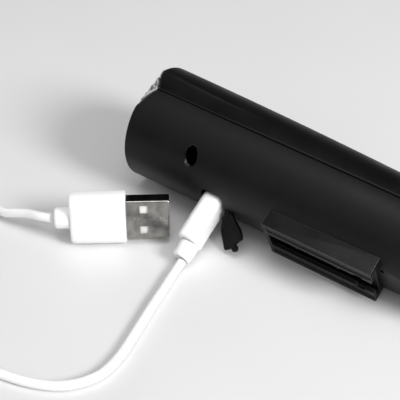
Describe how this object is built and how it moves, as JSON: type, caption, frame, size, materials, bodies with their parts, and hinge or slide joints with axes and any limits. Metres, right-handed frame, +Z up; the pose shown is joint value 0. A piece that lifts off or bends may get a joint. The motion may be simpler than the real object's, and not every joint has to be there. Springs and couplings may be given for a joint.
{
  "type": "led light tube",
  "caption": "Handheld or bar-mounted LED light tube with a clear front lens, a slide-in mounting rail and a charging lead plugged into its covered port.",
  "frame": {"origin": "on the table, under the middle of the light's bounding box, leaving out the charging lead", "axes": "+X along the light from its lens to its tail, +Z up from the table, +Y away from the charging lead; the light lies rolled 65.4 degrees onto its side, with its port and rail towards -Y and slightly down"},
  "size_m": [0.1992, 0.1164, 0.0342],
  "materials": {
    "black_matt_plastic": "moulded ABS with a fine satin grain",
    "black_grained_plastic": "moulded nylon with a coarse grain",
    "clear_polycarbonate": "clear polycarbonate, looks pale grey because of the reflector behind it",
    "black_rubber": "soft matt rubber",
    "bright_reflector": "vacuum-metallised inside",
    "yellow_phosphor": "silicone dome over phosphor",
    "green_circuit_board": "green solder mask",
    "aluminium": "turned, bare",
    "nickel_plated_steel": "bright nickel plate",
    "blackened_steel": "blackened",
    "blue_battery_sleeve": "shrink sleeve over a metal can",
    "grey_foam": "closed-cell foam",
    "white_soft_plastic": "soft PVC, smooth satin",
    "red_wire": "PVC insulation",
    "black_wire": "PVC insulation"
  },
  "bodies": {
    "light": {"battery_cell": "blue_battery_sleeve", "battery_cradle": "black_matt_plastic", "battery_foam": "grey_foam", "battery_tab_front": "nickel_plated_steel", "battery_tab_rear": "nickel_plated_steel", "battery_wire_negative": "black_wire", "battery_wire_positive": "red_wire", "case_screw_front_left": "blackened_steel", "case_screw_front_right": "blackened_steel", "case_screw_rear": "blackened_steel", "charging_cable": "white_soft_plastic", "front_lens": "clear_polycarbonate", "heat_sink": "aluminium", "indicator_light_pipe": "clear_polycarbonate", "led_board": "green_circuit_board", "led_emitter": "yellow_phosphor", "led_wire_negative": "black_wire", "led_wire_positive": "red_wire", "lens_gasket": "black_rubber", "lower_shell": "black_matt_plastic", "main_board": "green_circuit_board", "micro_plug_overmold": "white_soft_plastic", "micro_plug_relief": "white_soft_plastic", "micro_plug_shell": "nickel_plated_steel", "mount_rail": "black_grained_plastic", "rail_screw_front": "blackened_steel", "rail_screw_rear": "blackened_steel", "reflector": "bright_reflector", "switch_board": "green_circuit_board", "tactile_switch": "black_matt_plastic", "upper_shell": "black_matt_plastic", "usb_a_overmold": "white_soft_plastic", "usb_a_relief": "white_soft_plastic", "usb_a_shell": "nickel_plated_steel", "usb_a_tongue": "white_soft_plastic", "usb_socket": "nickel_plated_steel"},
    "power_button": {"power_button": "black_rubber", "switch_plunger": "black_matt_plastic"},
    "port_cover": {"port_cover": "black_rubber"}
  },
  "joints": [
    {"name": "power_button_press", "type": "slide", "parent": "light", "child": "power_button", "axis": [-0.0064, -0.9092, -0.4162], "range_m": [0, 0.0008], "stiffness_N_per_m": 1500, "springref_m": -0.0003},
    {"name": "port_cover_swing", "type": "hinge", "parent": "light", "child": "port_cover", "pos_m": [-0.02082, -0.01444, 0.00952], "axis": [0.74, 0.0601, 0.6699], "range_deg": [-8, 20], "stiffness_Nm_per_rad": 0.002}
  ]
}
